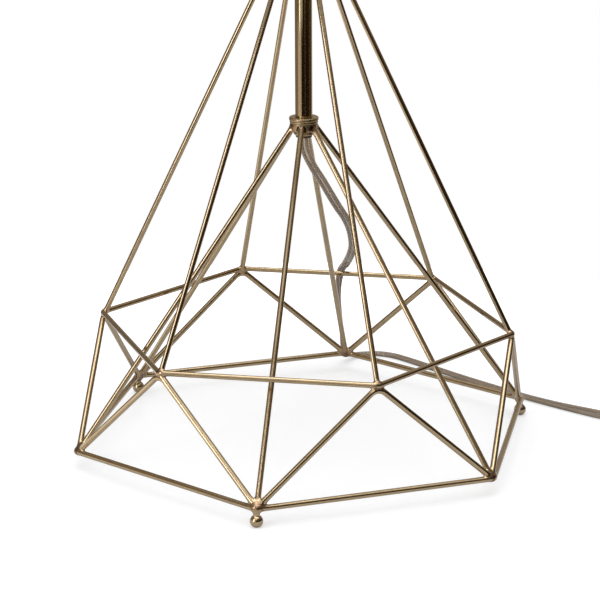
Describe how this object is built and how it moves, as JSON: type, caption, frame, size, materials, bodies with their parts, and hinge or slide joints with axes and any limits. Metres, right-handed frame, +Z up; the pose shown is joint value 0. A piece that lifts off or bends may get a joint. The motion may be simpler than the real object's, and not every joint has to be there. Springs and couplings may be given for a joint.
{
  "type": "table lamp",
  "caption": "Table lamp on a faceted cage of round iron wire with ball feet, a slim stem, a turn-knob socket, a harp, a linen drum shade and a corded plug.",
  "frame": {"origin": "on the table, under the middle of the stem and of the shade", "axes": "+Z up along the stem, +X through a bottom corner of the cage that has a ball foot, -Y towards the switch knob"},
  "size_m": [0.5184, 0.3798, 0.6697],
  "materials": {
    "plated_iron": "antique brass plate on iron wire, clear lacquer, brown in the welds",
    "stem_plate": "antique brass plate on steel tube, polished",
    "zinc_steel": "zinc plated, threaded",
    "bushing_plastic": "moulded, dark brown",
    "spring_steel": "brass washed spring wire",
    "polished_brass": "drawn sheet, lacquered",
    "liner_paper": "waxed fish paper",
    "phenolic": "moulded black phenolic",
    "bulb_aluminium": "rolled thread",
    "frosted_glass": "white coated inside",
    "solder": "tinned contact in a black glass insulator",
    "linen": "off-white linen on stiff backing",
    "cord_vinyl": "clear brown vinyl over copper cores",
    "tie_plastic": "coated wire tie",
    "plug_vinyl": "moulded clear brown vinyl",
    "blade_nickel": "nickel plated"
  },
  "bodies": {
    "root": {"bottom_ring": "plated_iron", "mid_ring": "plated_iron", "foot_1": "plated_iron", "foot_2": "plated_iron", "foot_3": "plated_iron", "chevron_1": "plated_iron", "chevron_2": "plated_iron", "chevron_3": "plated_iron", "chevron_4": "plated_iron", "chevron_5": "plated_iron", "chevron_6": "plated_iron", "brace_1": "plated_iron", "brace_2": "plated_iron", "brace_3": "plated_iron", "brace_4": "plated_iron", "brace_5": "plated_iron", "brace_6": "plated_iron", "cage_strut_1": "plated_iron", "cage_strut_2": "plated_iron", "cage_strut_3": "plated_iron", "cage_strut_4": "plated_iron", "cage_strut_5": "plated_iron", "cage_strut_6": "plated_iron", "hub_ring": "plated_iron", "crown_collar": "plated_iron", "stem_tube": "stem_plate", "threaded_pipe": "zinc_steel", "stem_washer": "plated_iron", "spacer_ring": "plated_iron", "hub_nut": "plated_iron", "cord_bushing": "bushing_plastic", "seat_washer": "plated_iron", "harp_saddle": "plated_iron", "harp_loop": "spring_steel", "harp_stud": "polished_brass", "socket_cap": "polished_brass", "socket_shell": "polished_brass", "socket_liner": "liner_paper", "socket_body": "phenolic", "screw_shell": "polished_brass", "centre_contact": "polished_brass", "terminal_screws": "polished_brass", "stem_lead": "cord_vinyl", "cord_run": "cord_vinyl", "cord_coil": "cord_vinyl", "cord_tail": "cord_vinyl", "coil_tie": "tie_plastic", "plug_body": "plug_vinyl", "plug_blades": "blade_nickel"},
    "switch": {"switch_shaft": "polished_brass", "switch_knob": "phenolic"},
    "shade": {"shade_shell": "linen", "shade_top_frame": "spring_steel", "shade_bottom_ring": "spring_steel"},
    "finial": {"finial": "plated_iron"},
    "bulb": {"bulb_cap": "bulb_aluminium", "bulb_glass": "frosted_glass", "bulb_contact": "solder"},
    "sleeve_1": {"harp_sleeve_1": "polished_brass"},
    "sleeve_2": {"harp_sleeve_2": "polished_brass"}
  },
  "joints": [
    {"name": "switch_turn", "type": "hinge", "parent": "root", "child": "switch", "pos_m": [0, 0, 0.4416], "axis": [0, -1, 0], "continuous": true},
    {"name": "shade_turn", "type": "hinge", "parent": "root", "child": "shade", "pos_m": [0, 0, 0.6435], "axis": [0, 0, 1], "continuous": true},
    {"name": "finial_turn", "type": "hinge", "parent": "shade", "child": "finial", "pos_m": [0, 0, 0.65], "axis": [0, 0, 1], "continuous": true},
    {"name": "bulb_turn", "type": "hinge", "parent": "root", "child": "bulb", "pos_m": [0, 0, 0.46], "axis": [0, 0, 1], "continuous": true},
    {"name": "sleeve_lift_1", "type": "slide", "parent": "root", "child": "sleeve_1", "axis": [0, 0, 1], "range_m": [0, 0.01]},
    {"name": "sleeve_lift_2", "type": "slide", "parent": "root", "child": "sleeve_2", "axis": [0, 0, 1], "range_m": [0, 0.01]}
  ]
}
